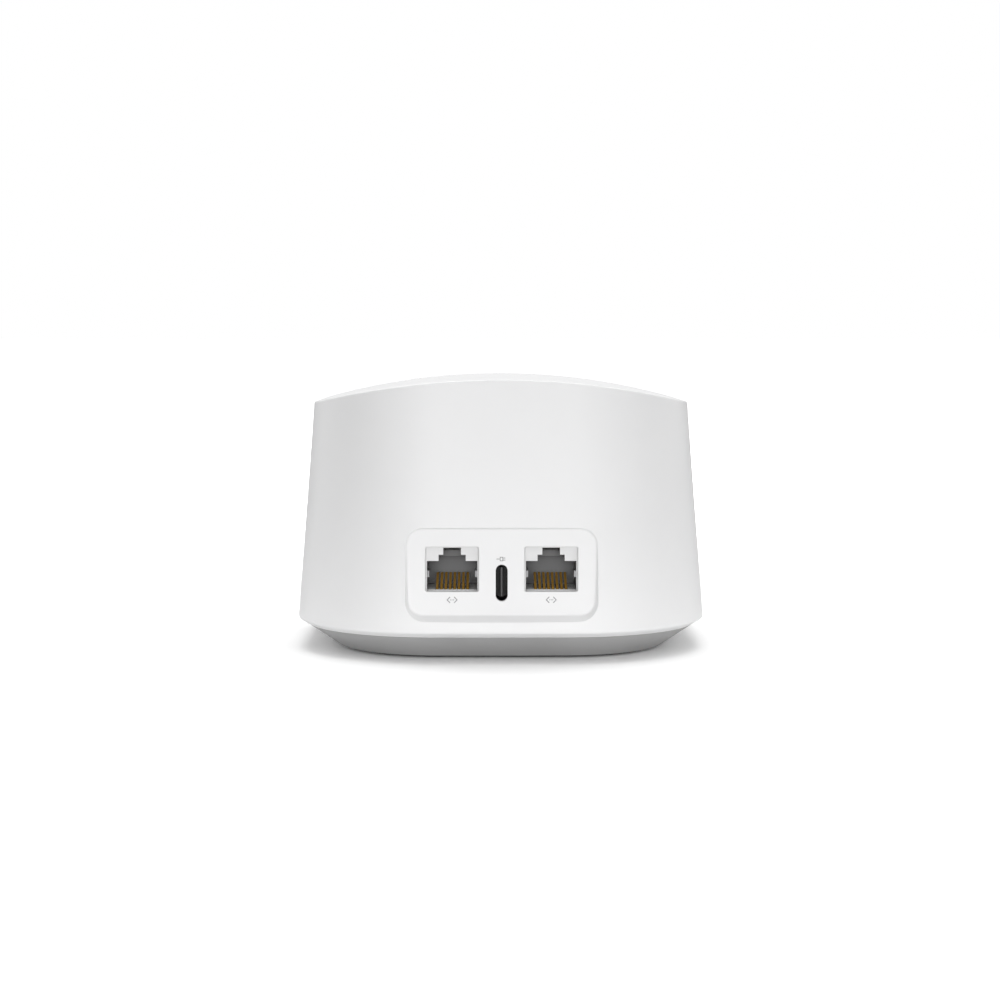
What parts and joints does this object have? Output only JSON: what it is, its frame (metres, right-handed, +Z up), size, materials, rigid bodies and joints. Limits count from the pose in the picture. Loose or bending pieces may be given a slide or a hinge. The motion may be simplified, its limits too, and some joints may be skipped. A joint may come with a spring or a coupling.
{
  "type": "mesh wifi node",
  "caption": "Rounded-square white wifi node with an arched top, slanted grey base, network sockets and an upright power socket at the back.",
  "frame": {"origin": "centre of the footprint, on the surface the node stands on", "axes": "+X across the width, +Y out of the port side, +Z up"},
  "size_m": [0.0994, 0.097, 0.0655],
  "materials": {
    "shell_white": "fine moulded texture",
    "base_grey": "fine moulded texture",
    "foot_rubber": "soft matte",
    "label_film": "satin film",
    "screw_steel": "plated",
    "board_laminate": "solder mask",
    "socket_plastic": "moulded",
    "contact_gold": "gold plated",
    "tinned_steel": "tin plated",
    "connector_black": "moulded",
    "chip_black": "moulded epoxy",
    "ceramic_white": "fired ceramic",
    "ferrite_grey": "pressed ferrite",
    "capacitor_can": "satin",
    "led_white": "diffusing",
    "light_guide": "frosted",
    "button_grey": "moulded",
    "thermal_pad": "soft silicone",
    "cast_aluminium": "die cast",
    "antenna_metal": "stamped nickel silver",
    "cable_jacket": "extruded jacket"
  },
  "bodies": {
    "housing": {"outer_shell": "shell_white", "base_cover": "base_grey", "rubber_foot": "foot_rubber", "rating_label": "label_film", "base_screws": "screw_steel", "board_screws": "screw_steel", "heatsink_screws": "screw_steel", "main_board": "board_laminate", "rj45_left_insert": "socket_plastic", "rj45_right_insert": "socket_plastic", "rj45_left_contacts": "contact_gold", "rj45_right_contacts": "contact_gold", "usb_c_contacts": "contact_gold", "rj45_left_shield": "tinned_steel", "rj45_right_shield": "tinned_steel", "usb_c_shell": "tinned_steel", "shield_frames": "tinned_steel", "shield_lids": "tinned_steel", "crystals": "tinned_steel", "usb_c_insulator": "connector_black", "antenna_carrier": "connector_black", "network_transformers": "chip_black", "processor": "chip_black", "memory_chip": "chip_black", "flash_chip": "chip_black", "radio_chips": "chip_black", "smart_home_radio": "chip_black", "reset_switch_body": "connector_black", "chip_antenna": "ceramic_white", "inductors": "ferrite_grey", "capacitors": "capacitor_can", "status_led": "led_white", "light_pipe": "light_guide", "thermal_pads": "thermal_pad", "heatsink": "cast_aluminium", "heat_spreader": "cast_aluminium", "antenna_left": "antenna_metal", "antenna_right": "antenna_metal", "antenna_front": "antenna_metal", "coax_leads": "cable_jacket", "coax_plugs": "contact_gold"},
    "button": {"reset_button": "button_grey"},
    "plunger": {"reset_switch_plunger": "button_grey"}
  },
  "joints": [
    {"name": "reset_press", "type": "slide", "parent": "housing", "child": "button", "axis": [0, 0, 1], "range_m": [0, 0.00035], "stiffness_N_per_m": 2500},
    {"name": "switch_plunge", "type": "slide", "parent": "housing", "child": "plunger", "axis": [0, 0, 1], "range_m": [0, 0.0004], "stiffness_N_per_m": 500}
  ],
  "couplings": [
    {"joint": "switch_plunge", "follows": "reset_press", "ratio": 1}
  ]
}
